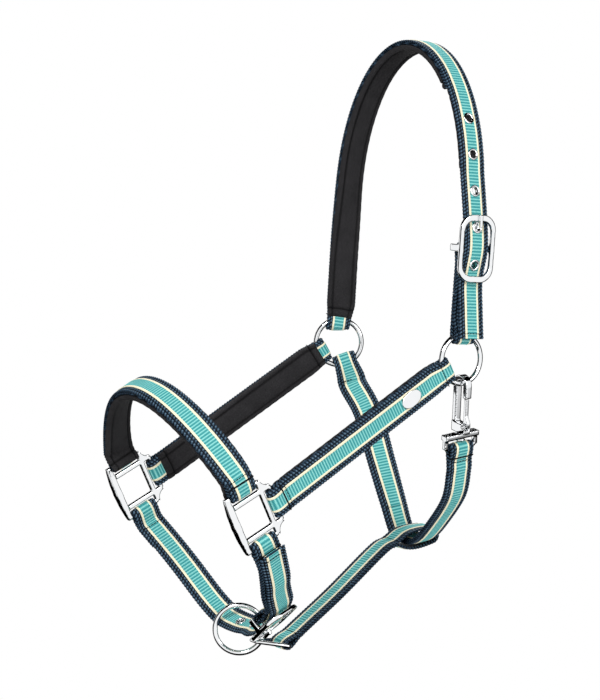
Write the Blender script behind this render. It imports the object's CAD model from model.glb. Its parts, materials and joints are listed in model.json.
# Padded webbing headcollar: sewn webbing with a ribbed ribbon, lining pads and plated fittings.
# Lengths are millimetres until a mesh is made.
import json
from math import acos, cos, degrees, pi, radians, sin, sqrt, tan

import bpy
import numpy as np
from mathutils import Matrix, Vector

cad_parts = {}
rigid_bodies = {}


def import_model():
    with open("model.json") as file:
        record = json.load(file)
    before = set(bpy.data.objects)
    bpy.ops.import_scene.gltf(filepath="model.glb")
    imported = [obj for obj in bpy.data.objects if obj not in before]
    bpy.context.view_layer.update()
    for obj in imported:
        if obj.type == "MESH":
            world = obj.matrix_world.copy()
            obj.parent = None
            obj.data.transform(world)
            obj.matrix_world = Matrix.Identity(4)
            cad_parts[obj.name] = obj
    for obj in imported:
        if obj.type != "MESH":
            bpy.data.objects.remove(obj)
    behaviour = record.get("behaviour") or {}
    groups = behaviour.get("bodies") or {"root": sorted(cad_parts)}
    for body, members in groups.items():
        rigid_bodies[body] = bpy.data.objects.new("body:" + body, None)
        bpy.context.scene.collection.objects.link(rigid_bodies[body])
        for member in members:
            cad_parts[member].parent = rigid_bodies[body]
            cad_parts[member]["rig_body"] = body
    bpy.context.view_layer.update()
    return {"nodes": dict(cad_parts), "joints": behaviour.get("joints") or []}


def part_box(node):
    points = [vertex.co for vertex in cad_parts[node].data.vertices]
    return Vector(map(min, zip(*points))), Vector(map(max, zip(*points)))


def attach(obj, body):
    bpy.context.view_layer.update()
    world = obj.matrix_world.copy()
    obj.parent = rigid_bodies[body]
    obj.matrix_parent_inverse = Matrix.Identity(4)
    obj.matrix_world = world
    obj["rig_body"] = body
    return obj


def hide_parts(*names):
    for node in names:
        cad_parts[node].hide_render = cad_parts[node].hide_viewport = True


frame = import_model()

MM = 0.001

# Webbing, ribbon and pads
WEB_W = 25
WEB_T = 2
WEB_THIN = 0.3
RIBBON_W = 14
RIBBON_T = 0.5
PAD_W = 25
PAD_T = 5
PAD_SEAM = 4.2
PAD_RING_GAP = 2
PAD_BAR_GAP = 7
PAD_OVER = 3
NOSE_PAD_W = 28
CLEAR = 0.3
LAP = 0.15
HALF = WEB_T / 2 + LAP / 2

# Fit on the head, as the solids have it
CROWN_LEG = 130
CROWN_LEG_POINTS = 13
CROWN_ARCH_STEP = 5
CROWN_LEAN = radians(4)
CROWN_TWIST = (60, 90)
CROWN_TAIL_STEPS = 6
CROWN_TAIL_FLARE = [(-50, 3), (-74, 7)]
CHEEK_SLOPE = radians(28)
CHEEK_STEPS = 24
BUCKLE_STEPS = 6
NOSE_SLOPE = radians(25)
NOSE_STEP = 4
NOSE_OUT = 1
NOSE_RISE = 107
NOSE_FLARE = 0.25
NOSE_FULL = 1.8
CHIN_DROP = 124
CHIN_SHARE = (0.54, 0.79)
CHIN_LIE = (-0.84, -0.55)
CHIN_STEPS = 5
NEAR_CHIN_TWIST = (2, 22)
FAR_CHIN_TWIST = (6, 2)
FAR_CHIN_UNTWIST = (10, 4)
FAR_CHIN_IN = 3
FAR_CHIN_FOLD = 4
CHIN_TAIL_SHARES = (0.3, 0.5, 0.7)
CHIN_TAIL_RISE = 2
CHIN_TAIL_OUT = 8
THROAT_DROP = 166
THROAT_STEPS = 8
THROAT_TWIST = (1, 4)
THROAT_LEAD = 8
THROAT_BELLY = 34 * np.array([-0.34, 0.94])
THROAT_LEAN = radians(6)
THROAT_TURN = radians(19)
FAR_TURN = radians(30)
JAW_STEPS = 5
JAW_LIFT = 1.4
JAW_SLACK = 2.4
JAW_BEND = [(22, 0.2), (7, 0.6)]
LOOP_REACH = 14
LOOP_LEAD = 6
LOOP_STEP = 15
BAR_NARROW = 0.94
RING_NARROW = 0.81
BACK_JOIN = 0.45
CROWN_PAD_STOP = 44

# Fittings
RING_D = 45
RING_WIRE = 4.5
SQUARE_OPEN = 26
SQUARE_BAR = 4
SLOT_GAP = 1
LOOP_BAR = 4
BUCKLE_BAR = 4
BUCKLE_END = 5.5
BUCKLE_RISE = 2
CROWN_BUCKLE_L = 56
CHIN_BUCKLE_L = 46
CROWN_BUCKLE_UP = 92
CROWN_BUCKLE_OUT = 1.5
CHIN_TURN = radians(12)
EYELET_BORE = 6
EYELET_WALL = 0.5
EYELET_RIM = 1.5
EYELET_ROLL = 0.8
CROWN_PITCH = 30.5
CROWN_EYELETS = range(-3, 2)
CHIN_PITCH = 24
CHIN_EYELETS = range(-2, 2)
SNAP_L = 56
SNAP_LEAN = radians(11)
LINK_WIRE = 3.5
LINK_L = 28
LINK_NOSE = 9
LINK_LIE = (0, -27, 5.5)
LINK_BEND = 2.6
SLOT_PLAY = 0.8

# Weave, ribs and thread
BEAD_PITCH = 3.0
BEADS = 2
BEAD_H = 0.55
BEAD_FULL = 0.3
BEAD_FLOOR = 0.05
BEAD_PLUMP = 0.7
BEAD_SWING = 0.75
BEAD_SINK = 0.35
EDGE_WAVE = 0.28
EDGE_TOP = 0.7
EDGE_UNDER = 0.5
EDGE_SHADE = 0.3
LANE_SHADE = 0.45
WEB_ROW = BEAD_PITCH / 4
WEB_LANE = 6
HIDDEN_ROW = 4
RIB_PITCH = 2.6
RIB_H = 0.2
RIB_ROW = RIB_PITCH / 4
RIBBON_LANE = 4
RIM_W = 0.4
RIM_DROP = 0.2
RIM_CLOSE = 0.1
CREAM_W = 2
CREAM_LEVEL = 0.9
TONGUE_SLOT = 5.8
SLOT_SLIP = 0.05
SLOT_REACH = 1.5
HOLE_DEPTH = 6
KNIT = 4.2
THREAD = 0.8
SAME_PLACE = 1e-4


def unit(v):
    v = np.asarray(v, float)
    return v / np.linalg.norm(v, axis=-1, keepdims=True)


def square_to(ahead, v):
    return unit(v - np.sum(v * ahead, axis=1, keepdims=True) * ahead)


def mix(a, b, f):
    return a + (b - a) * f


def ease(f):
    g = np.clip(f, 0, 1)
    return g * g * (3 - 2 * g)


def rising(x, start, length):
    return ease((x - start) / length)


def gaps(points):
    return np.linalg.norm(np.diff(points, axis=0), axis=1)


def distances(points):
    return np.concatenate([[0], np.cumsum(gaps(points))])


def line(a, b, n):
    return [mix(np.asarray(a, float), np.asarray(b, float), i / n) for i in range(n + 1)]


def curve(points, n):
    """Smooth curve through points, n steps between each pair."""
    p = np.asarray(points, float)
    p = np.vstack([p[:1], p, p[-1:]])
    out = []
    for i in range(1, len(p) - 2):
        a, b, c, d = p[i - 1:i + 3]
        for k in range(n):
            t = k / n
            out.append(0.5 * (2 * b + (c - a) * t + (2 * a - 5 * b + 4 * c - d) * t * t
                              + (3 * b - a - 3 * c + d) * t ** 3))
    return np.array(out + [p[-1]])


class Run:
    """Points along a strap, with their outward normals and width directions."""

    def __init__(self, points, normals, widths):
        self.points = np.array(points, float)
        self.normals = np.array(normals, float)
        self.widths = np.array(widths, float)

    @classmethod
    def through(cls, points, widths):
        p = np.array(points, float)
        ahead = unit(np.vstack([p[1:], p[-1:]]) - np.vstack([p[:1], p[:-1]]))
        across = square_to(ahead, np.broadcast_to(np.asarray(widths, float), p.shape))
        return cls(p, np.cross(ahead, across), across)

    def tables(self):
        return self.points, self.normals, self.widths

    def __add__(self, other):
        return Run(*[np.vstack(pair) for pair in zip(self.tables(), other.tables())])

    def __len__(self):
        return len(self.points)

    def __getitem__(self, kept):
        return Run(*[table[kept] for table in self.tables()])

    def lift(self, height):
        return Run(self.points + height * self.normals, self.normals, self.widths)

    def flip(self):
        return Run(self.points[::-1], -self.normals[::-1], self.widths[::-1])

    def back(self):
        """The run of a second layer behind this one, the other way."""
        return self.lift(-HALF).flip()

    def travel(self):
        return distances(self.points)

    def length(self):
        return self.travel()[-1]

    def at(self, s):
        """Point, normal and width at a distance along the run."""
        gone = self.travel()
        return [np.array([np.interp(s, gone, values) for values in table.T]) for table in self.tables()]

    def cut(self, start, stop):
        gone = self.travel()
        inside = (gone > start + CLEAR) & (gone < stop - CLEAR)
        pieces = zip(self.at(start), self.tables(), self.at(stop))
        return Run(*[np.vstack([first, table[inside], last]) for first, table, last in pieces])

    def dense(self, spots):
        """The run at many distances, on a smooth curve through its own points."""
        apart = np.concatenate([[True], gaps(self.points) > SAME_PLACE])
        p = self.points[apart]
        gone = distances(p)
        step = np.diff(gone)[:, None]
        slope = np.diff(p, axis=0) / step
        inner = (slope[:-1] * step[1:] + slope[1:] * step[:-1]) / (step[1:] + step[:-1])
        tangent = np.vstack([slope[:1], inner, slope[-1:]])
        i = np.clip(np.searchsorted(gone, spots, side="right") - 1, 0, len(p) - 2)
        h = step[i]
        t = (np.asarray(spots)[:, None] - gone[i][:, None]) / h
        points = ((2 * t ** 3 - 3 * t ** 2 + 1) * p[i] + (t ** 3 - 2 * t ** 2 + t) * h * tangent[i]
                  + (3 * t ** 2 - 2 * t ** 3) * p[i + 1] + (t ** 3 - t ** 2) * h * tangent[i + 1])
        widths = mix(self.widths[apart][i], self.widths[apart][i + 1], t)
        share = np.linalg.norm(widths, axis=1, keepdims=True)
        ahead = unit(np.gradient(points, axis=0))
        across = square_to(ahead, widths)
        return Run(points, np.cross(ahead, across), across * share)

    def smooth_length(self):
        """Length counted over the points that dense() keeps."""
        steps = gaps(self.points)
        return steps[steps > SAME_PLACE].sum()


def twisted(points, first, last, share):
    """A run whose width turns from one direction to another, by a share at each point."""
    return Run.through(points, [mix(first, last, share(i)) for i in range(len(points))])


# Loops round bars and rings
def loop_r(bar):
    return bar / 2 + CLEAR + WEB_T / 2


def eye(foot, loop):
    """Half turn round a bar or a ring's wire, which it meets from its foot."""
    radius, sag, centre, width = loop
    into = unit(foot - centre)
    out = unit(np.cross(into, width))
    turns = np.radians(np.arange(-90, 91, LOOP_STEP))[:, None]
    points = centre - (sag + radius * np.cos(turns)) * into + radius * np.sin(turns) * out
    normals = np.sin(turns) * out - np.cos(turns) * into
    points = np.vstack([centre - radius * out, points, centre + radius * out])
    normals = np.vstack([-out, normals, out])
    return Run(points, normals, np.broadcast_to(width, points.shape))


def faced(run, start, stop):
    """Face layer with the loops at its two ends."""
    return eye(run.points[0], start) + run.lift(HALF) + eye(run.points[-1], stop)


def doubled(run, start, stop):
    """Back layer, loop, face layer, loop and back layer again, as one run."""
    total = run.length()
    joint = BACK_JOIN * total
    return (run.cut(0, joint - CLEAR / 2).back() + faced(run, start, stop)
            + run.cut(joint + CLEAR / 2, total).back())


def past(end, place, over):
    """An end of a back layer, moved past its bar."""
    return Run(end.points - max(0, over) * unit(place - end.points), end.normals, end.widths)


def back_run(run, start, stop, over_start, over_stop):
    """Back layer for a pad, to the given distances past the bars; below zero is short of the bar."""
    first = past(eye(run.points[-1], stop)[-1:], run.points[-1], over_stop)
    last = past(eye(run.points[0], start)[:1], run.points[0], over_start)
    back = first + run.back() + last
    return back.cut(max(0, -over_stop), back.length() - max(0, -over_start))


# Main places and directions, from the joints of the solids
def joint_place(name):
    found = next(j for j in frame["joints"] if j["name"] == name)
    return np.array(found["pos_m"]) / MM


def rising_by(angle):
    """Direction in the side plane, backwards and up by an angle."""
    return np.array([0, cos(angle), sin(angle)])


QUARTER = pi / 2
near_ring = joint_place("near_ring_spin")
far_ring = joint_place("far_ring_spin")
lead_ring = joint_place("lead_ring_spin")
link_base = joint_place("jaw_link_swing")
crown_bar_at = joint_place("crown_tongue_lift")
chin_bar_at = joint_place("chin_tongue_lift")
near_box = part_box("near_square")
far_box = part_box("far_square")
square_half = ((near_box[0] + near_box[1]) / 2 - (far_box[0] + far_box[1]) / 2).x / MM / 2
ring_r = (RING_D - RING_WIRE) / 2
ring_mid = (near_ring + far_ring) / 2
crown_half = near_ring[0]
crown_up = rising_by(QUARTER - CROWN_LEAN)
crown_side = rising_by(-CROWN_LEAN)
cheek_dir = rising_by(CHEEK_SLOPE)
cheek_edge = rising_by(CHEEK_SLOPE + QUARTER)
nose_back = rising_by(NOSE_SLOPE)
nose_up = rising_by(NOSE_SLOPE + QUARTER)
throat_side = rising_by(THROAT_LEAN)
throat_down = rising_by(THROAT_LEAN - QUARTER)
far_across = np.array([sin(FAR_TURN), cos(FAR_TURN), 0])
side = np.array([1.0, 0, 0])
up = np.array([0, 0, 1.0])
square_mid = chin_bar_at - CHIN_SHARE[0] * square_half * side + CHIN_SHARE[1] * CHIN_DROP * nose_up
slot_h = WEB_T + RIBBON_T + LAP + 2 * CLEAR + SLOT_GAP
bar_out = SQUARE_OPEN / 2 + SQUARE_BAR + slot_h + LOOP_BAR / 2
eye_half = WEB_W * RING_NARROW / 2
inner_r = ring_r - RING_WIRE / 2
ring_sag = inner_r - sqrt(inner_r ** 2 - eye_half ** 2)


def ring_eye(centre, axis, turned=0):
    return loop_r(RING_WIRE) + ring_sag * sin(turned), ring_sag, centre, axis * RING_NARROW


def bar_eye(bar, centre, axis):
    return loop_r(bar), 0, centre, axis * BAR_NARROW


def plane(origin, upward):
    """Places across the head and along an upward direction, from an origin."""
    return lambda x, y: origin + x * side + y * upward


crown_pt = plane(ring_mid, crown_up)
nose_pt = plane(square_mid, nose_up)
throat_pt = plane(ring_mid, throat_down)

# Buckle stack, outward from the centre bar.
# A buckle is given as its bar's place, the direction along its strap and the outward direction.
tail_half = WEB_T / 2 + LAP + RIBBON_T
tail_over = BUCKLE_BAR / 2 + CLEAR + WEB_T + LAP + RIBBON_T + CLEAR + tail_half + BUCKLE_RISE
tail_under = 2 * HALF + LAP + RIBBON_T + 2 * CLEAR + tail_half
eyelet_r = EYELET_BORE / 2 + EYELET_WALL + EYELET_RIM


def bar_at(length):
    return (length - BUCKLE_END) / 2


def tongue_hole(length):
    return length / 2 - BUCKLE_END - eyelet_r - 2 * CLEAR


def buckled(length):
    """A tail's way through a buckle: distances along it and heights over its bar."""
    return [(bar_at(length), tail_under), (0, tail_over), (-bar_at(length), tail_under)]


def in_buckle(buckle, along, height):
    bar, ahead, out = buckle
    return bar + along * ahead + height * out


def hole_distance(run, first, buckle, length):
    """Distance along a tail at which it has the hole for the buckle's tongue."""
    ahead_of_bar = (run.points[first:] - buckle[0]) @ buckle[1]
    return np.interp(-tongue_hole(length), -ahead_of_bar, run.travel()[first:])


# Crown: far leg, arch over the poll and a tail through the buckle
crown_rise = np.linalg.norm(ring_mid) - CROWN_LEG + PAD_T + 2 * LAP + WEB_T
leg = [(-crown_half, y) for y in np.linspace(ring_r + LOOP_REACH, CROWN_LEG, CROWN_LEG_POINTS)]
arch = [(crown_half * cos(t), CROWN_LEG + crown_rise * sin(t))
        for t in np.radians(np.arange(180 - CROWN_ARCH_STEP, 9, -CROWN_ARCH_STEP))]
crown_flat = leg + arch


def crown_width(x, y):
    turned = mix(far_across, crown_side, rising(y, *CROWN_TWIST))
    return turned if x < 0 else crown_side


crown_run = Run.through([crown_pt(*q) for q in crown_flat], [crown_width(*q) for q in crown_flat])
crown_doubled = len(leg) + (180 - CROWN_PAD_STOP) // CROWN_ARCH_STEP - 1
crown_bar = np.array([crown_half + CROWN_BUCKLE_OUT, CROWN_BUCKLE_UP])
strap_foot = np.array([crown_half, ring_r])
crown_u = unit(crown_bar - strap_foot)
crown_n = np.array([crown_u[1], -crown_u[0]])
crown_buckle = (crown_bar_at, crown_u[0] * side + crown_u[1] * crown_up,
                crown_n[0] * side + crown_n[1] * crown_up)
crown_tail_flat = buckled(CROWN_BUCKLE_L) + [(u, tail_under + n) for u, n in CROWN_TAIL_FLARE]
crown_outer = crown_run.lift(HALF)
crown_tail_knots = list(crown_outer.points[-2:])
crown_tail_knots += [in_buckle(crown_buckle, *q) for q in crown_tail_flat]
crown_tail = curve(crown_tail_knots, CROWN_TAIL_STEPS)[CROWN_TAIL_STEPS + 1:]
crown_face = crown_outer + Run.through(crown_tail, crown_side)
crown_back = crown_run[:crown_doubled + 1].back()
crown_eye = eye(crown_run.points[0], ring_eye(far_ring + ring_r * up, far_across, FAR_TURN))
crown_sewn = crown_eye + crown_face
crown_hole_s = hole_distance(crown_face, len(crown_run), crown_buckle, CROWN_BUCKLE_L)
crown_holes = [crown_face.at(crown_hole_s + k * CROWN_PITCH) for k in CROWN_EYELETS]

# Short strap from the near ring to the crown buckle
buckle_start = crown_pt(*(strap_foot + LOOP_REACH * crown_u))
buckle_stop = crown_pt(*(crown_bar - LOOP_REACH * crown_u))
buckle_run = Run.through(line(buckle_start, buckle_stop, BUCKLE_STEPS), -crown_side)
buckle_eyes = (ring_eye(crown_pt(*strap_foot), -crown_side),
               bar_eye(BUCKLE_BAR, crown_bar_at, -crown_side))


# Cheek straps
def cheek_run(start, stop, first, last):
    ahead = unit(stop - start)
    points = line(start + LOOP_REACH * ahead, stop - LOOP_REACH * ahead, CHEEK_STEPS)
    return twisted(points, first, last, lambda i: ease(i / CHEEK_STEPS))


near_cheek_low = nose_pt(square_half, 0) + bar_out * nose_back
near_cheek_top = near_ring - ring_r * cheek_dir
far_cheek_low = nose_pt(-square_half, 0) + bar_out * nose_back
far_cheek_dir = cos(CHEEK_SLOPE) * far_across + sin(CHEEK_SLOPE) * up
far_cheek_edge = cos(CHEEK_SLOPE) * up - sin(CHEEK_SLOPE) * far_across
far_cheek_top = far_ring - ring_r * far_cheek_dir
near_cheek_run = cheek_run(near_cheek_low, near_cheek_top, cheek_edge, cheek_edge)
far_cheek_run = cheek_run(far_cheek_low, far_cheek_top, -cheek_edge, -far_cheek_edge)
near_cheek_eyes = (bar_eye(LOOP_BAR, near_cheek_low, nose_up), ring_eye(near_cheek_top, cheek_edge))
far_cheek_eyes = (bar_eye(LOOP_BAR, far_cheek_low, -nose_up),
                  ring_eye(far_cheek_top, -far_cheek_edge, FAR_TURN))

# Noseband
nose_foot = bar_out + LOOP_REACH
nose_turns = np.radians(np.arange(180, -1, -NOSE_STEP))
nose_lift = [nose_foot + (NOSE_RISE - nose_foot) * max(0, sin(t)) ** NOSE_FULL for t in nose_turns]
nose_arch = [nose_pt((square_half + NOSE_OUT) * cos(t), y) for t, y in zip(nose_turns, nose_lift)]
nose_run = Run.through(nose_arch, [nose_back + NOSE_FLARE * sin(2 * t) * side for t in nose_turns])
nose_eyes = tuple(bar_eye(LOOP_BAR, nose_pt(i * square_half, bar_out), nose_back) for i in (-1, 1))

# Near chin strap, from the near square to the chin buckle
chin_lie = unit(CHIN_LIE)
chin_level = chin_lie[0] * side + chin_lie[1] * nose_up
chin_u3 = cos(CHIN_TURN) * chin_level - sin(CHIN_TURN) * nose_back
chin_w3 = cos(CHIN_TURN) * nose_back + sin(CHIN_TURN) * chin_level
chin_buckle = (chin_bar_at, chin_u3, np.cross(chin_u3, chin_w3))
near_chin_flat = [
    (0.839 * square_half, -0.565 * CHIN_DROP), (0.925 * square_half, -0.444 * CHIN_DROP),
    (square_half - 1, -bar_out - LOOP_REACH - LOOP_LEAD), (square_half, -bar_out - LOOP_REACH)]
near_chin_knots = [in_buckle(chin_buckle, -reach, 0) for reach in (LOOP_REACH, LOOP_REACH + LOOP_LEAD)]
near_chin_line = curve(near_chin_knots + [nose_pt(*q) for q in near_chin_flat], CHIN_STEPS)
near_chin_run = twisted(near_chin_line, -chin_w3, -nose_back, lambda i: rising(i, *NEAR_CHIN_TWIST))
near_chin_eyes = (bar_eye(BUCKLE_BAR, chin_bar_at, -chin_w3),
                  bar_eye(LOOP_BAR, nose_pt(square_half, -bar_out), -nose_back))

# Far chin strap, from the far square under the chin and through the buckle
far_chin_shape = [(-0.8, 0.4355), (-0.63, 0.595), (-0.42, 0.82), (-0.26, 0.927), (-0.13, 0.952),
                  (0.03, 0.957), (0.19, 0.947)]
far_chin_knots = [nose_pt(FAR_CHIN_IN - square_half, -bar_out - LOOP_REACH)]
far_chin_knots += [nose_pt(x * square_half, -y * CHIN_DROP) for x, y in far_chin_shape]
far_chin_knots += [in_buckle(chin_buckle, *q) for q in buckled(CHIN_BUCKLE_L)]
for share in CHIN_TAIL_SHARES:
    spot = near_chin_run.at(share * near_chin_run.length())
    far_chin_knots.append(spot[0] + (tail_under + CHIN_TAIL_RISE * share) * spot[1])
far_chin_knots.append(nose_pt(square_half + CHIN_TAIL_OUT, -bar_out - 2 * LOOP_BAR))


def far_chin_turned(i):
    knot = i / CHIN_STEPS
    return rising(knot, *FAR_CHIN_TWIST) * (1 - rising(knot, *FAR_CHIN_UNTWIST))


far_chin_run = twisted(curve(far_chin_knots, CHIN_STEPS), -nose_back, -chin_w3, far_chin_turned)
far_chin_eye = eye(far_chin_run.lift(HALF).points[0],
                   bar_eye(LOOP_BAR, nose_pt(-square_half, -bar_out), -nose_back))
far_chin_sewn = far_chin_run.flip() + far_chin_eye + far_chin_run[:FAR_CHIN_FOLD + 1].lift(2 * HALF)
under_chin = FAR_CHIN_TWIST[0] * CHIN_STEPS
chin_hole_s = hole_distance(far_chin_run, under_chin, chin_buckle, CHIN_BUCKLE_L)
chin_holes = [far_chin_run.at(chin_hole_s + k * CHIN_PITCH) for k in CHIN_EYELETS]

# Throat strap, from the far ring to the snap
throat_radial = sin(THROAT_TURN) * far_across - cos(THROAT_TURN) * up
throat_tangent = cos(THROAT_TURN) * far_across + sin(THROAT_TURN) * up
snap_wire = np.array([crown_half, ring_r])
snap_down = np.array([-sin(SNAP_LEAN), cos(SNAP_LEAN)])
snap_bar = snap_wire + SNAP_L * snap_down
throat_start = far_ring + (ring_r + LOOP_REACH) * throat_radial
throat_shape = [(-0.705, 0.373, 7), (-0.477, 0.614, 3), (-0.284, 0.825, 0), (-0.17, 0.976, 0),
                (0, 1, 0), (0.17, 0.988, 0), (0.386, 0.904, 0)]
throat_end = snap_bar + LOOP_REACH * snap_down
throat_belly = throat_end + THROAT_BELLY
throat_knots = [throat_start, throat_start + THROAT_LEAD * throat_radial]
throat_knots += [throat_pt(x * crown_half, y * THROAT_DROP) + [0, back, 0] for x, y, back in throat_shape]
throat_knots += [throat_pt(*q) for q in (throat_belly, throat_end + THROAT_LEAD * snap_down, throat_end)]
throat_run = twisted(curve(throat_knots, THROAT_STEPS), -throat_tangent, -throat_side,
                     lambda i: rising(i / THROAT_STEPS, *THROAT_TWIST))
throat_eyes = (ring_eye(far_ring + ring_r * throat_radial, -throat_tangent, FAR_TURN),
               bar_eye(LOOP_BAR, throat_pt(*snap_bar), -throat_side))

# Jaw strap, from the link to a loop round the throat strap
jaw_top = throat_pt(0, THROAT_DROP) - WEB_W / 2 * throat_side + JAW_LIFT * up
jaw_foot = jaw_top - LOOP_REACH * throat_side
jaw_rise = unit((jaw_foot - link_base) * [0, 1, 1])
jaw_knots = [link_base + LOOP_REACH * jaw_rise, link_base + 2 * LOOP_REACH * jaw_rise,
             mix(link_base, jaw_foot, 0.5)]
jaw_knots += [jaw_foot - reach * unit(mix(jaw_rise, throat_side, lean)) for reach, lean in JAW_BEND]
jaw_run = Run.through(curve(jaw_knots + [jaw_foot], JAW_STEPS), -side)
jaw_round = 2 * HALF + LAP + RIBBON_T + CLEAR + WEB_T / 2 + JAW_SLACK
jaw_eyes = (bar_eye(LINK_WIRE, link_base, -side), (jaw_round, WEB_W, jaw_top, -side))


# Shader nodes
def colour(red, green, blue):
    """Picture values from 0 to 255 as a linear colour."""
    parts = [c / 255 for c in (red, green, blue)]
    return (*[p / 12.92 if p <= 0.04045 else ((p + 0.055) / 1.055) ** 2.4 for p in parts], 1)


class Wire:
    """One socket of a material's nodes; sums and products of wires add Math nodes."""

    def __init__(self, tree, socket=None):
        self.tree = tree
        self.socket = socket

    def node(self, kind, settings=None, inputs=None, out=0):
        """A new node: its settings first, then the values or links of its sockets."""
        made = self.tree.nodes.new(kind)
        for name, value in (settings or {}).items():
            if name == "stops":
                for place, *_ in value[2:]:
                    made.color_ramp.elements.new(place)
                for element, (place, *shade) in zip(made.color_ramp.elements, value):
                    element.position = place
                    element.color = colour(*shade)
            else:
                setattr(made, name, value)
        for name, value in (inputs or {}).items():
            if isinstance(value, Wire):
                self.tree.links.new(value.socket, made.inputs[name])
            else:
                made.inputs[name].default_value = value
        return Wire(self.tree, made.outputs[out])

    def math(self, operation, first, second=0.0):
        return self.node("ShaderNodeMath", {"operation": operation}, {0: first, 1: second})

    def __add__(self, other):
        return self.math("ADD", self, other)

    __radd__ = __add__

    def __sub__(self, other):
        return self.math("SUBTRACT", self, other)

    def __rsub__(self, other):
        return self.math("SUBTRACT", other, self)

    def __mul__(self, other):
        return self.math("MULTIPLY", self, other)

    __rmul__ = __mul__

    def __gt__(self, other):
        return self.math("GREATER_THAN", self, other)

    def blend(self, first, second):
        """Colour between two others, by this value."""
        return self.node("ShaderNodeMix", {"data_type": "RGBA"}, {0: self, 6: first, 7: second}, out=2)

    def ramp(self, *stops):
        """Colour along a ramp, by this value; each stop is a place and a picture colour."""
        return self.node("ShaderNodeValToRGB", {"stops": stops}, {0: self})

    def bump(self, distance, strength=1.0):
        """Normal of a surface with this height."""
        return self.node("ShaderNodeBump", {}, {"Height": self, "Distance": distance, "Strength": strength})


def finish(name, **constants):
    """A material with its shader; constants are set on the shader's own sockets."""
    material = bpy.data.materials.new(name)
    material.use_nodes = True
    shader = material.node_tree.nodes["Principled BSDF"]
    for socket, value in constants.items():
        shader.inputs[socket.replace("_", " ")].default_value = value
    return material, Wire(material.node_tree), shader


def dress(shader, **wires):
    """Links wires to the shader's sockets of the same names."""
    for socket, wire in wires.items():
        wire.tree.links.new(wire.socket, shader.inputs[socket.replace("_", " ")])


def measure(root, name):
    return root.node("ShaderNodeAttribute", {"attribute_name": name}, out=2)


def cloud(root, scale, detail=2.0):
    """Soft noise over the object, from 0 to 1."""
    place = root.node("ShaderNodeTexCoord", out=3)
    return root.node("ShaderNodeTexNoise", {}, {"Vector": place, "Scale": scale, "Detail": detail})


def webbing_finish():
    material, root, shader = finish("navy_webbing", Specular_IOR_Level=0.12)
    height = measure(root, "height")
    fine = cloud(root, 1500.0)
    worn = cloud(root, 140.0)
    lit = height + 0.4 * (fine - 0.5) + 0.3 * (worn - 0.5)
    shade = lit.ramp((0.1, 3, 5, 10), (0.4, 28, 44, 60), (0.75, 58, 82, 102), (1.0, 108, 134, 152))
    dress(shader, Base_Color=shade, Roughness=0.7 - 0.2 * height, Normal=fine.bump(0.2 * MM))
    return material


def ribbon_finish():
    material, root, shader = finish("teal_ribbon", Specular_IOR_Level=0.2)
    height = measure(root, "height")
    fine = cloud(root, 1800.0)
    worn = cloud(root, 90.0)
    lit = height + 0.3 * (fine - 0.5) + 0.2 * (worn - 0.5)
    teal = lit.ramp((0.1, 50, 140, 144), (0.5, 82, 172, 172), (0.95, 146, 218, 211))
    cream = fine.blend(colour(238, 228, 190), colour(252, 246, 220))
    edge = root.math("ABSOLUTE", measure(root, "across")) > RIBBON_W / 2 - CREAM_W
    dress(shader, Base_Color=edge.blend(teal, cream), Roughness=0.75 - 0.2 * height,
          Normal=fine.bump(0.15 * MM))
    return material


def pad_finish():
    material, root, shader = finish("charcoal_lining", Specular_IOR_Level=0.2)
    along, across = [root.math("SINE", KNIT * measure(root, name)) for name in ("along", "across")]
    knit = along * across
    fine = cloud(root, 900.0)
    worn = cloud(root, 60.0)
    lit = 0.5 + 0.25 * knit + 0.5 * (fine - 0.5) + 0.4 * (worn - 0.5)
    shade = lit.ramp((0.1, 24, 23, 25), (0.6, 45, 44, 46), (1.0, 68, 67, 70))
    sewn = measure(root, "seam").blend(shade, colour(5, 5, 6))
    dress(shader, Base_Color=sewn, Roughness=0.85 + 0.1 * knit, Normal=(knit + fine).bump(0.2 * MM))
    return material


def thread_finish():
    material, root, shader = finish("dark_thread", Specular_IOR_Level=0.15)
    fine = cloud(root, 2500.0)
    dress(shader, Base_Color=fine.blend(colour(4, 5, 8), colour(16, 20, 28)), Roughness=0.6 + 0.2 * fine)
    return material


def chrome_finish():
    material, root, shader = finish("bright_plating", Metallic=1.0)
    broad = cloud(root, 70.0)
    fine = cloud(root, 500.0, 3.0)
    shade = broad.blend(colour(238, 240, 242), colour(248, 249, 250))
    dress(shader, Base_Color=shade, Roughness=0.03 + 0.04 * fine, Normal=broad.bump(0.2 * MM, 0.3))
    return material


WEBBING = webbing_finish()
RIBBON = ribbon_finish()
LINING = pad_finish()
STITCH = thread_finish()
CHROME = chrome_finish()


# Meshes
def placed(name, data):
    obj = bpy.data.objects.new(name, data)
    bpy.context.scene.collection.objects.link(obj)
    return obj


def new_mesh(name, points, faces, material, measures=None):
    mesh = bpy.data.meshes.new(name)
    mesh.from_pydata(points, [], faces)
    for key, values in (measures or {}).items():
        mesh.attributes.new(key, "FLOAT", "POINT").data.foreach_set("value", np.asarray(values, np.float32))
    mesh.materials.append(material)
    return mesh


def piece(name, points, faces, material, nodes=(), body="straps", measures=None):
    """A mesh piece that rides on a body and stands for the nodes it replaces."""
    mesh = new_mesh(name, (np.asarray(points) * MM).tolist(), [list(f) for f in faces], material, measures)
    mesh.shade_smooth()
    obj = placed(name, mesh)
    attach(obj, body)
    if nodes:
        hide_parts(*nodes)
    return obj


def circle(sides):
    return [2 * pi * k / sides for k in range(sides)]


def quads(lines, columns, start=0, closed_lines=True, closed_columns=True):
    """Faces of a grid of points, which may close on itself either way."""
    faces = []
    for i in range(lines if closed_lines else lines - 1):
        here = start + i * columns
        below = start + (i + 1) % lines * columns
        for j in range(columns if closed_columns else columns - 1):
            beside = (j + 1) % columns
            faces.append((here + j, here + beside, below + beside, below + j))
    return faces


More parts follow.
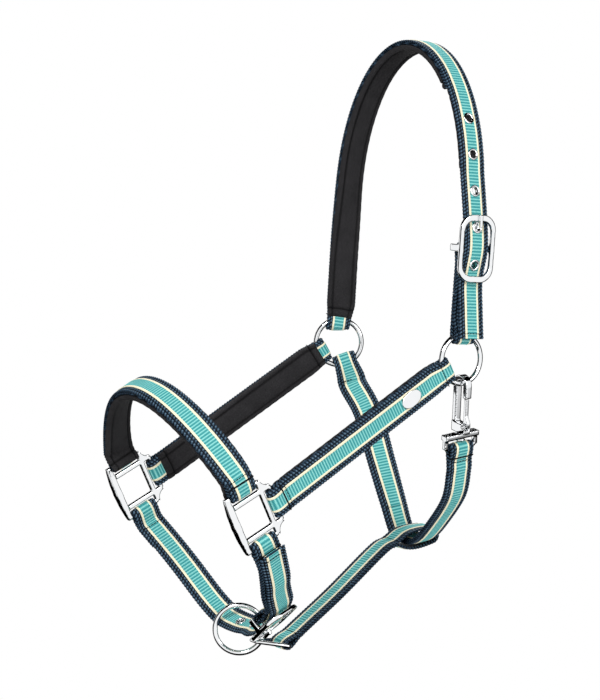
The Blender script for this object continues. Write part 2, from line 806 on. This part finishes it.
def corners_of(table):
    """The four corners of each cell of a grid."""
    return table[:-1, :-1], table[1:, :-1], table[1:, 1:], table[:-1, 1:]


def slab(top, low, keep):
    """A closed sheet between two grids; cells that aren't kept leave holes with walls."""
    size = top.shape[0] * top.shape[1]
    corners = corners_of(np.arange(size).reshape(top.shape[:2]))
    cells = np.stack(corners, axis=-1)[keep]
    around = np.pad(keep, 1)
    neighbours = (around[1:-1, :-2], around[2:, 1:-1], around[1:-1, 2:], around[:-2, 1:-1])
    faces = [cells, cells[:, ::-1] + size]
    for k, beside in enumerate(neighbours):
        open_side = keep & ~beside
        p = corners[k][open_side]
        q = corners[(k + 1) % 4][open_side]
        faces.append(np.stack([q, p, p + size, q + size], axis=-1))
    faces = np.vstack(faces)
    points = np.vstack([top.reshape(-1, 3), low.reshape(-1, 3)])
    used = np.unique(faces)
    fresh = np.zeros(len(points), int)
    fresh[used] = np.arange(len(used))
    return points[used], fresh[faces], used


def on_slab(used, top, low=None):
    """A measure of a slab's points, from its values on the two grids."""
    return np.concatenate([top.ravel(), (top if low is None else low).ravel()])[used]


def grid(run, across, height):
    """Points of a run at places across it and heights above it."""
    sideways = across[..., None] * run.widths[:, None]
    outward = height[..., None] * run.normals[:, None]
    return run.points[:, None] + sideways + outward


def holed(points, holes, radius):
    """Which points of a grid lie in the bores."""
    inside = np.zeros(points.shape[:2], bool)
    for centre, normal, _ in holes:
        away = points - centre
        level = away @ unit(normal)
        radial = np.linalg.norm(away - level[..., None] * unit(normal), axis=-1)
        inside |= (radial < radius) & (abs(level) < HOLE_DEPTH)
    return inside


def slotted(points, buckle):
    """Which points of a grid lie in the slot for a buckle's tongue."""
    bar, ahead, out = buckle
    away = points - bar
    reach = SLOT_REACH * loop_r(BUCKLE_BAR)
    across = np.cross(out, ahead)
    return ((abs(away @ ahead) < reach) & (abs(away @ across) < TONGUE_SLOT / 2 + SLOT_SLIP)
            & (abs(away @ out) < 2 * reach))


def kept(points, holes, buckle):
    """Cells of a grid that are left after its bores and slots are cut."""
    bored = holed(points, holes, EYELET_BORE / 2 + EYELET_WALL)
    lost = np.any(corners_of(bored), axis=0)
    if buckle is not None:
        lost |= np.all(corners_of(slotted(points, buckle)), axis=0)
    return ~lost


def rows(total, step, hidden=()):
    """Distances along a run, with longer steps where it is hidden."""
    spots = [0.0]
    while spots[-1] < total - 1e-6:
        s = spots[-1]
        covered = any(a < s < b - HIDDEN_ROW for a, b in hidden)
        spots.append(min(total, s + (HIDDEN_ROW if covered else step)))
    return np.array(spots)


def strap_columns(rim, holes, reach):
    """Places across a strap: its two rims, and the lane between them for holes or a slot."""
    lane = np.arange(-reach, reach + 1, 1.0) if holes else np.array([-TONGUE_SLOT / 2, TONGUE_SLOT / 2])
    return np.concatenate([-rim[::-1], lane, rim])


def webbing(name, run, holes=(), buckle=None, hidden=(), open_back=False):
    """Woven strap: slanted beads along both margins, waved edges and a flat lane under the ribbon."""
    spots = rows(run.smooth_length(), WEB_ROW, hidden)
    r = run.dense(spots)
    x = strap_columns(np.linspace(RIBBON_W / 2, WEB_W / 2, 4 * BEADS + 1), holes, WEB_LANE)
    out = np.clip((abs(x) - RIBBON_W / 2) / (WEB_W - RIBBON_W) * 2, 0, 1)
    swell = np.clip(0.5 - 0.5 * np.cos(2 * np.pi * out * BEADS), 0, 1) ** BEAD_FULL
    turn = 2 * np.pi * spots[:, None] / BEAD_PITCH
    phase = turn + np.pi * BEADS * out[None] * np.sign(x)[None]
    bead = swell[None] * mix(BEAD_FLOOR, 1, ease(BEAD_PLUMP + BEAD_SWING * np.cos(phase)))
    edge = (out > 0.99)[None]
    wave = EDGE_WAVE * np.cos(turn) * edge * np.sign(x)[None]
    level = WEB_T / 2 - WEB_THIN * out[None] + BEAD_H * (bead - BEAD_SINK * (out > 0)[None])
    level = np.where(edge, WEB_T / 2 - EDGE_TOP, level)
    top = grid(r, x[None] + wave, level)
    under = level if open_back else WEB_T / 2 + 0 * level
    low = grid(r, x[None] + wave, -np.where(edge, WEB_T / 2 - EDGE_UNDER, under))
    points, faces, used = slab(top, low, kept(top, holes, buckle))
    covered = (abs(x) < RIBBON_W / 2 - 0.01)[None]
    height = np.where(covered, LANE_SHADE, bead) + 0 * phase
    height = np.where(edge, EDGE_SHADE * (1 + np.cos(turn)), height)
    measures = {"height": on_slab(used, height)}
    piece(name, points, faces, WEBBING, [name], measures=measures)


def ribbon_parts(run, holes=(), buckle=None):
    """Ribbed ribbon lying on its webbing."""
    spots = rows(run.smooth_length(), RIB_ROW)
    r = run.dense(spots)
    half = RIBBON_W / 2
    stripe = half - CREAM_W
    x = strap_columns(np.array([stripe - RIM_CLOSE, stripe, half - RIM_W, half]), holes, RIBBON_LANE)
    rib = 0.5 + 0.5 * np.cos(2 * np.pi * spots[:, None] / RIB_PITCH) + 0 * x[None]
    rib = np.where((abs(x) >= stripe)[None], CREAM_LEVEL, rib)
    rim = (abs(x) > half - RIM_CLOSE)[None]
    base = WEB_T / 2 + LAP
    level = base + RIBBON_T - RIB_H * (1 - rib) - np.where(rim, RIM_DROP, 0)
    across = x[None] + 0 * rib
    top = grid(r, across, level)
    low = grid(r, across, base + 0 * rib)
    points, faces, used = slab(top, low, kept(top, holes, buckle))
    return points, faces, {"height": on_slab(used, rib, 0 * rib), "across": on_slab(used, across)}


def ribbon(name, *parts):
    """One ribbon from its parts."""
    starts = np.cumsum([0] + [len(points) for points, _, _ in parts])
    points = np.vstack([points for points, _, _ in parts])
    faces = np.vstack([faces + start for (_, faces, _), start in zip(parts, starts)])
    joined = {key: np.concatenate([measures[key] for _, _, measures in parts])
              for key in ("height", "across")}
    piece(name, points, faces, RIBBON, [name], measures=joined)


# Lining pads
PAD_LIP = 0.88 * PAD_T
PAD_SEWN = 0.5 * PAD_T
PAD_ROW = 1.4
PAD_COLUMNS = 33
PAD_ROLL = 0.3
PAD_CLOSING = 3.5
PAD_END = 0.1
PAD_LEAST = 0.12
PAD_DRIFT = 0.06
DRIFT_START = 1.3
DRIFT_ALONG = 17
DRIFT_ACROSS = 3
DRIFT_SLANT = 23
PAD_DRAWN = 0.02
PUCKER = 4.4
PUCKER_H = 0.16
PUCKER_W = 1.5
PUCKER_STITCH = 0.6 * PUCKER
END_SEAM = 7
END_SEAM_W = 1.1
END_SEAM_SINK = 0.55
END_LINE_W = 0.8
SEAM_LINE_W = 0.7


def hump(x, width):
    return np.exp(-(x / width) ** 2)


def pad(name, back, width=PAD_W, depth=1.0, nodes=()):
    """Foam lining: crowned between two sewn channels, with thick rolled lips and a seam near each end."""
    run = back.lift(WEB_T / 2 + 2 * LAP)
    total = run.smooth_length()
    spots = np.linspace(0, total, int(total / PAD_ROW) + 1)
    r = run.dense(spots)
    e = width / 2
    channel = e - PAD_SEAM
    x = e * np.sin(np.linspace(-np.pi / 2, np.pi / 2, PAD_COLUMNS))
    away = abs(x)
    crown = np.sqrt(np.clip(1 - (away / channel) ** 2, 0, 1))
    inward = np.clip((e - away) / PAD_SEAM, 0, 1)
    round_edge = np.sqrt(1 - (1 - np.clip(inward / PAD_ROLL, 0, 1)) ** 2)
    inside = away <= channel
    sewn = PAD_SEWN * np.where(inside, 1, round_edge)
    swell = np.where(inside, (PAD_T - PAD_SEWN) * crown, (PAD_LIP - PAD_SEWN) * np.sin(np.pi * inward))
    from_end = np.minimum(spots, total - spots)
    closing = mix(PAD_END, 1, np.sqrt(np.clip(from_end / PAD_CLOSING, 0, 1)))
    seam = 1 - END_SEAM_SINK * hump(from_end - END_SEAM, END_SEAM_W)
    ripple = PUCKER_H * np.sin(2 * np.pi * spots / PUCKER)[:, None] * hump(away - channel, PUCKER_W)[None]
    slow = np.sin(spots / DRIFT_ALONG + DRIFT_START)[:, None]
    drift = PAD_DRIFT * slow * np.sin(x / DRIFT_ACROSS + spots[:, None] / DRIFT_SLANT)
    level = (sewn[None] + swell[None] * (1 + drift)) * (closing * seam)[:, None]
    level = np.maximum(depth * (level + ripple * closing[:, None]), PAD_LEAST)
    gather = 0.5 - 0.5 * np.cos(np.pi * spots / PUCKER)
    across = x[None] * (1 - PAD_DRAWN * gather[:, None] * (away / e)[None] ** 4)
    top = grid(r, across, level)
    low = grid(r, across, 0 * level)
    points, faces, used = slab(top, low, np.ones((len(spots) - 1, len(x) - 1), bool))
    end_line = hump(from_end - END_SEAM, END_LINE_W)[:, None]
    measures = {"along": on_slab(used, spots[:, None] + 0 * level),
                "across": on_slab(used, x[None] + 0 * level),
                "seam": on_slab(used, np.maximum(hump(away - channel, SEAM_LINE_W)[None], end_line))}
    obj = piece(name, points, faces, LINING, nodes, measures=measures)
    for edge in (-channel, channel):
        sewn_at = depth * PAD_SEWN + THREAD_LIFT
        add_stitches(run, np.arange(END_SEAM, total - END_SEAM, PUCKER), edge, sewn_at, PUCKER_STITCH)


# Sewing thread: short capsules sunk into the cloth
stitch_points, stitch_faces = [], []
CAPSULE = [(-0.5, 0.25), (-0.36, 0.85), (0, 1.0), (0.36, 0.85), (0.5, 0.25)]
CAPSULE_SIDES = 6
THREAD_LIFT = 0.1
MARGIN_LIFT = 0.3
ROW_REACH = 11.4
ROW_PITCH = 2.85
ROW_STITCH = 2.6
CUT_REACH = 11.5
CUT_STITCH = 1.5
CUT_HALF = 0.35


def capsule(centre, ahead, out, length):
    beside = np.cross(out, ahead)
    start = len(stitch_points)
    for place, girth in CAPSULE:
        for turn in circle(CAPSULE_SIDES):
            reach = THREAD / 2 * girth * (cos(turn) * out + sin(turn) * beside)
            stitch_points.append(centre + place * length * ahead + reach)
    stitch_faces.extend(quads(len(CAPSULE), CAPSULE_SIDES, start, closed_lines=False))
    stitch_faces.append(tuple(range(start + CAPSULE_SIDES - 1, start - 1, -1)))
    stitch_faces.append(tuple(range(len(stitch_points) - CAPSULE_SIDES, len(stitch_points))))


def add_stitches(run, spots, across, height, length):
    """Stitches along a run, at one place across it."""
    r = run.dense(spots)
    ahead = unit(np.gradient(r.points, axis=0))
    for p, n, w, t in zip(r.points, r.normals, r.widths, ahead):
        capsule(p + across * w + height * n, t, n, length)


def face_at(run, spot):
    """Point, normal and direction across at a distance along a strap's smooth face."""
    r = run.dense(np.array([spot - 0.5, spot, spot + 0.5]))
    return r.points[1], r.normals[1], unit(r.widths[1])


def face_height(x):
    return WEB_T / 2 + (LAP + RIBBON_T if abs(x) < RIBBON_W / 2 else MARGIN_LIFT)


def cross_stitch(run, spot):
    """A row of stitches across a strap's face."""
    point, normal, across = face_at(run, spot)
    for x in np.arange(1 - ROW_REACH, ROW_REACH, ROW_PITCH):
        capsule(point + x * across + face_height(x) * normal, across, normal, ROW_STITCH)


def cut_edge(run, distance):
    """Sealed cut end of a folded strap, a dark line across its face."""
    point, normal, across = face_at(run, distance)
    ahead = np.cross(across, normal)
    for offset in (-CUT_HALF, CUT_HALF):
        for x in np.arange(-CUT_REACH, CUT_REACH + 0.1, 1.0):
            spot = point + x * across + offset * ahead + face_height(x) * normal
            capsule(spot, across, normal, CUT_STITCH)


# Shapes of the fittings
RING_SIDES = 96
WIRE_SIDES = 24
EYELET_SIDES = 40
EYELET_STEP = 0.05
EYELET_ROLL_STEPS = 8
LINK_SIDES = 20
BEND_STEPS = 10


def rolled(name, profile, sides, seats, body, node):
    """Turned pieces: a closed profile of (radius, height) spun round each seat's normal."""
    points, faces = [], []
    for centre, x_dir, out in seats:
        y_dir = np.cross(out, x_dir)
        faces += [(a, d, c, b) for a, b, c, d in quads(sides, len(profile), len(points))]
        for turn in circle(sides):
            radial = cos(turn) * x_dir + sin(turn) * y_dir
            points.extend(centre + r * radial + z * out for r, z in profile)
    piece(name, points, faces, CHROME, [node], body)


def eyelet_profile(low, high):
    """Barrel with a rolled flange at each face."""
    bore = EYELET_BORE / 2
    wall = bore + EYELET_WALL
    roll = (eyelet_r - bore) / 2
    turns = np.linspace(0, pi, EYELET_ROLL_STEPS + 1)
    upper = [(bore + roll - roll * cos(t), high + EYELET_ROLL * sin(t)) for t in turns]
    lower = [(bore + roll + roll * cos(t), low - EYELET_ROLL * sin(t)) for t in turns]
    return upper + [(wall, high - EYELET_STEP), (wall, low + EYELET_STEP)] + lower


def tube(name, path, wire, body, node):
    """Closed wire loop."""
    p = np.asarray(path, float)
    n = len(p)
    ahead = unit(np.roll(p, -1, axis=0) - np.roll(p, 1, axis=0))
    out = unit(np.cross(ahead, unit(np.cross(p[1] - p[0], p[n // 3] - p[0]))))
    beside = np.cross(ahead, out)
    points = [p[i] + wire / 2 * (cos(t) * out[i] + sin(t) * beside[i])
              for i in range(n) for t in circle(LINK_SIDES)]
    piece(name, points, quads(n, LINK_SIDES), CHROME, [node], body)


def rounded_loop(corners, radius):
    """Closed path through corners, each rounded to a radius."""
    path = []
    for i, corner in enumerate(corners):
        before = unit(corners[i - 1] - corner)
        after = unit(corners[(i + 1) % len(corners)] - corner)
        half = acos(float(np.clip(before @ after, -1, 1))) / 2
        reach = radius / tan(half)
        centre = corner + unit(before + after) * radius / sin(half)
        first = corner + reach * before - centre
        last = corner + reach * after - centre
        path += [centre + radius * unit(bend) for bend in line(first, last, BEND_STEPS)]
    return path


def eased(node, voxel, passes):
    """A fitting with rounded edges: its solid, meshed evenly and smoothed."""
    source = frame["nodes"][node]
    obj = placed(node + "_plated", source.data.copy())
    even = obj.modifiers.new("even_mesh", "REMESH")
    even.mode = "VOXEL"
    even.voxel_size = voxel * MM
    soft = obj.modifiers.new("soft_edges", "SMOOTH")
    soft.factor = 0.5
    soft.iterations = passes
    made = obj.evaluated_get(bpy.context.evaluated_depsgraph_get())
    mesh = bpy.data.meshes.new_from_object(made)
    obj.modifiers.clear()
    obj.data = mesh
    mesh.materials.clear()
    mesh.materials.append(CHROME)
    mesh.shade_smooth()
    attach(obj, source["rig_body"])
    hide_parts(node)


# Sewn ends: stitch rows near the loops, and cut edges where a folded end lies on the face
RING_END = [(cross_stitch, 3.5)]
BAR_END = [(cross_stitch, 12.5)]
FOLDED_END = [(cross_stitch, 12), (cut_edge, 8)]
BACK_ROW = 2
TAIL_ROW = 4


def sewn_end(path, loop, rows_here, from_end=False):
    """Rows at one end of a faced strap, counted from the bar or ring."""
    for sew, row in rows_here:
        gone = loop.length() + row
        sew(path, path.smooth_length() - gone if from_end else gone)


# Doubled straps and their ribbons; a ribbon beside a pad tucks a little under it
TUCK = 1
BURIED = 15
NOSE_TRIM = 4
PADDED = ("near_cheek", "far_cheek", "noseband")
for name, run, eyes, buckle, first, last in (
        ("buckle", buckle_run, buckle_eyes, crown_buckle, RING_END, BAR_END),
        ("near_cheek", near_cheek_run, near_cheek_eyes, None, FOLDED_END, RING_END),
        ("far_cheek", far_cheek_run, far_cheek_eyes, None, BAR_END, RING_END),
        ("noseband", nose_run, nose_eyes, None, BAR_END, FOLDED_END),
        ("near_chin", near_chin_run, near_chin_eyes, chin_buckle, BAR_END, FOLDED_END),
        ("throat", throat_run, throat_eyes, None, RING_END, FOLDED_END),
        ("jaw", jaw_run, jaw_eyes, None, BAR_END, BAR_END)):
    path = doubled(run, *eyes)
    face = faced(run, *eyes)
    total = path.smooth_length()
    back = run.length() * BACK_JOIN
    rest = total - run.length() + back
    shown = path
    hidden = ()
    if name in PADDED:
        shown = path.cut(back - PAD_BAR_GAP - TUCK, rest + PAD_RING_GAP + TUCK)
        hidden = [(BURIED, back - BURIED), (rest + BURIED, total - BURIED)]
    else:
        for spot in (BACK_ROW, run.length() - BACK_ROW):
            cross_stitch(run.back(), spot)
    if name == "noseband":
        shown = face[NOSE_TRIM:-NOSE_TRIM]
    webbing(name + "_strap", path, buckle=buckle, hidden=hidden)
    ribbon(name + "_ribbon", ribbon_parts(shown, buckle=buckle))
    sewn_end(face, eye(run.points[0], eyes[0]), first)
    sewn_end(face, eye(run.points[-1], eyes[1]), last, from_end=True)

# Crown and far chin straps, which end in tails
crown_path = crown_back + crown_sewn
crown_shown = crown_path.cut(crown_back.length() - PAD_RING_GAP - TUCK, crown_path.length())
crown_buried = [(BURIED, crown_back.length() - BURIED)]
webbing("crown_strap", crown_path, crown_holes, hidden=crown_buried, open_back=True)
ribbon("crown_ribbon", ribbon_parts(crown_shown, crown_holes))
sewn_end(crown_sewn, crown_eye, RING_END)
cross_stitch(crown_face, crown_face.length() - TAIL_ROW)
far_chin_outer = far_chin_run[FAR_CHIN_FOLD + 1:]
far_chin_back = far_chin_run.flip()
webbing("far_chin_strap", far_chin_sewn, chin_holes, open_back=True)
ribbon("far_chin_ribbon", *[ribbon_parts(run, chin_holes) for run in (far_chin_sewn, far_chin_outer)])
cross_stitch(far_chin_back, far_chin_back.length() - BACK_ROW)
cross_stitch(far_chin_run, far_chin_run.length() - TAIL_ROW)

# Pads
crown_lined = crown_back + crown_eye[:1]
pad("crown_pad", crown_lined.cut(0, crown_lined.length() - PAD_RING_GAP), nodes=["crown_pad"])
for name, run, eyes in (("near_cheek_pad", near_cheek_run, near_cheek_eyes),
                        ("far_cheek_pad", far_cheek_run, far_cheek_eyes)):
    pad(name, back_run(run, *eyes, -PAD_BAR_GAP, -PAD_RING_GAP), nodes=[name])
nose_lined = back_run(nose_run, *nose_eyes, PAD_OVER, PAD_OVER)
pad("noseband_pad", nose_lined, NOSE_PAD_W, nodes=["noseband_pad"])

# Thin lining behind the two upper eyelets, from the crown pad's end
LINING_PAST = 12
LINING_DEPTH = 0.5
lining_start = crown_face.travel()[crown_doubled] + TUCK
lining_stop = crown_hole_s - 2 * CROWN_PITCH + LINING_PAST
pad("crown_lining", crown_face.cut(lining_start, lining_stop).flip(), depth=LINING_DEPTH)
piece("stitching", stitch_points, stitch_faces, STITCH)

# Rings, eyelets, link and cast fittings
wire_round = [(ring_r + RING_WIRE / 2 * cos(t), RING_WIRE / 2 * sin(t)) for t in circle(WIRE_SIDES)]
for name, centre in (("near_ring", near_ring), ("far_ring", far_ring), ("lead_ring", lead_ring)):
    axis = unit(next(j["axis"] for j in frame["joints"] if j["name"] == name + "_spin"))
    seat = (centre, unit(np.cross(up, axis)), axis)
    rolled(name + "_wire", wire_round, RING_SIDES, [seat], name, name)
for name, holes, under in (("crown", crown_holes, WEB_T / 2), ("chin", chin_holes, tail_half)):
    seats = [(centre, unit(across), unit(normal)) for centre, normal, across in holes]
    barrel = eyelet_profile(-under - LAP, tail_half + LAP)
    rolled(name + "_eyelet_rims", barrel, EYELET_SIDES, seats, "straps", name + "_eyelets")
link_tip = link_base + LINK_L * unit(LINK_LIE)
link_half = WEB_W / 2 + SLOT_PLAY + LINK_WIRE / 2
link_corners = [link_base - link_half * side, link_base + link_half * side,
                link_tip + LINK_NOSE / 2 * side, link_tip - LINK_NOSE / 2 * side]
tube("jaw_link_wire", rounded_loop(link_corners, LINK_BEND), LINK_WIRE, "jaw_link", "jaw_link")
for node, voxel, passes in (
        ("near_square", 0.4, 18), ("far_square", 0.4, 18),
        ("crown_buckle_frame", 0.4, 24), ("chin_buckle_frame", 0.4, 24),
        ("crown_buckle_tongue", 0.3, 12), ("chin_buckle_tongue", 0.3, 12),
        ("snap_hook", 0.35, 20), ("snap_gate", 0.25, 12), ("snap_loop", 0.35, 20), ("snap_pin", 0.2, 4),
        ("badge", 0.25, 10)):
    eased(node, voxel, passes)
frame["nodes"]["snap_spring"].data.materials.clear()
frame["nodes"]["snap_spring"].data.materials.append(CHROME)

# Camera at the photograph's angle
CAMERA_TURN = radians(56)
CAMERA_LIFT = radians(5.75)
CAMERA_FAR = 1.833
TARGET = Vector((0, -0.1188, -0.2484))
SENSOR = 36
PICTURE_H = 700
FOCAL_PX = 2200
camera = placed("camera", bpy.data.cameras.new("camera"))
camera.data.lens = FOCAL_PX / PICTURE_H * SENSOR
camera.data.sensor_width = SENSOR
flat = cos(CAMERA_LIFT)
towards = Vector((sin(CAMERA_TURN) * flat, -cos(CAMERA_TURN) * flat, sin(CAMERA_LIFT)))
camera.location = TARGET + CAMERA_FAR * towards
camera.rotation_euler = towards.to_track_quat("Z", "Y").to_euler()
bpy.context.scene.camera = camera

# Floor, fading to white at its rim; the plating reflects the white surround below it
FLOOR_Z = -0.80
FLOOR_R = 0.9
FLOOR_FADE = (0.45 * FLOOR_R, 0.98 * FLOOR_R)
FLOOR_SIDES = 96


def seen_directly(root):
    """1 for rays that should meet a plain white surround."""
    kinds = ("Camera", "Glossy", "Transmission")
    rays = [root.node("ShaderNodeLightPath", out="Is %s Ray" % kind) for kind in kinds]
    return root.math("MINIMUM", sum(rays[1:], rays[0]), 1.0)


def floor_finish():
    material, root, shader = finish("pale_floor", Roughness=0.9)
    place = root.node("ShaderNodeTexCoord", out=3)
    far = root.node("ShaderNodeVectorMath", {"operation": "LENGTH"}, {0: place}, out=1)
    fade = root.node("ShaderNodeMapRange", {"interpolation_type": "SMOOTHSTEP"},
                     {"Value": far, "From Min": FLOOR_FADE[0], "From Max": FLOOR_FADE[1]})
    dress(shader, Base_Color=cloud(root, 9.0).blend(colour(236, 236, 236), colour(244, 244, 244)))
    white = root.node("ShaderNodeEmission", {}, {"Color": (1, 1, 1, 1), "Strength": 1.0})
    matt = Wire(root.tree, shader.outputs[0])
    mixed = root.node("ShaderNodeMixShader", {}, {0: fade * seen_directly(root), 1: matt, 2: white})
    dress(material.node_tree.nodes["Material Output"], Surface=mixed)
    return material


floor_rim = [(FLOOR_R * cos(t), FLOOR_R * sin(t), 0) for t in circle(FLOOR_SIDES)]
floor = placed("floor", new_mesh("floor", floor_rim, [list(range(FLOOR_SIDES))], floor_finish()))
floor.location = (0, TARGET.y, FLOOR_Z)
floor.visible_glossy = False

# Dark hood behind the halter: a band round the view line, which only the plating reflects.
# Turns and angles are degrees; the strip is a bright line in the hood's left side.
HOOD_FAR = 1.7
HOOD_NEAR = [
    (-180, 44), (-144, 66), (-100, 38), (-55, 38), (-25, 80), (25, 80), (55, 38), (130, 38), (180, 44)]
HOOD_FADE = 6
HOOD_END = 150
HOOD_SIDES = 72
STRIP = (104, 107, 115, 118)
STRIP_LEFT = (0.8, 0.1)
view_right = Vector((cos(CAMERA_TURN), sin(CAMERA_TURN), 0))
view_up = towards.cross(view_right)


def hood_rib(turn):
    """One rib of the hood; it starts further back where flat faces are to stay bright."""
    beside = cos(turn) * view_right + sin(turn) * view_up
    near = np.interp(degrees(turn), *zip(*HOOD_NEAR))
    angles = np.radians([near, near + HOOD_FADE, *STRIP, HOOD_END - HOOD_FADE, HOOD_END])
    return [TARGET + HOOD_FAR * (cos(a) * towards + sin(a) * beside) for a in angles]


def hood_shades(turn):
    """White at both ends of a rib and dark between, apart from the strip."""
    strip = rising(-cos(turn), *STRIP_LEFT)
    return [1, 0, 0, strip, strip, 0, 0, 1]


hood_paint, hood_root, hood_shader = finish(
    "dark_hood", Base_Color=(0, 0, 0, 1), Roughness=1.0, Specular_IOR_Level=0.0, Emission_Strength=1.0)
dress(hood_shader, Emission_Color=measure(hood_root, "brightness"))
hood_turns = [t - pi for t in circle(HOOD_SIDES)]
hood_points = [point for t in hood_turns for point in hood_rib(t)]
hood_faces = quads(HOOD_SIDES, len(hood_points) // HOOD_SIDES, closed_columns=False)
brightness = [shade for t in hood_turns for shade in hood_shades(t)]
hood = placed("hood", new_mesh("hood", hood_points, hood_faces, hood_paint, {"brightness": brightness}))
hood.visible_camera = False
hood.visible_diffuse = False
hood.visible_shadow = False


# Light
def lamp(name, spot, size, watts):
    data = bpy.data.lights.new(name, "AREA")
    data.shape = "DISK"
    data.size = size
    data.energy = watts
    obj = placed(name, data)
    obj.location = spot
    obj.rotation_euler = (Vector(spot) - TARGET).to_track_quat("Z", "Y").to_euler()


lamp("key", (1.3, -1.9, 1.3), 0.9, 42)
lamp("fill", (2.2, 0.5, 0.5), 1.2, 16)
lamp("rim", (-1.4, 1.0, 1.2), 0.9, 18)

SKY_LIGHT = 0.55
world = bpy.data.worlds.new("studio")
bpy.context.scene.world = world
world.use_nodes = True
backdrop = world.node_tree.nodes["Background"]
backdrop.inputs["Color"].default_value = (1, 1, 1, 1)
dress(backdrop, Strength=SKY_LIGHT + (1 - SKY_LIGHT) * seen_directly(Wire(world.node_tree)))
bpy.context.scene.view_settings.view_transform = "Standard"
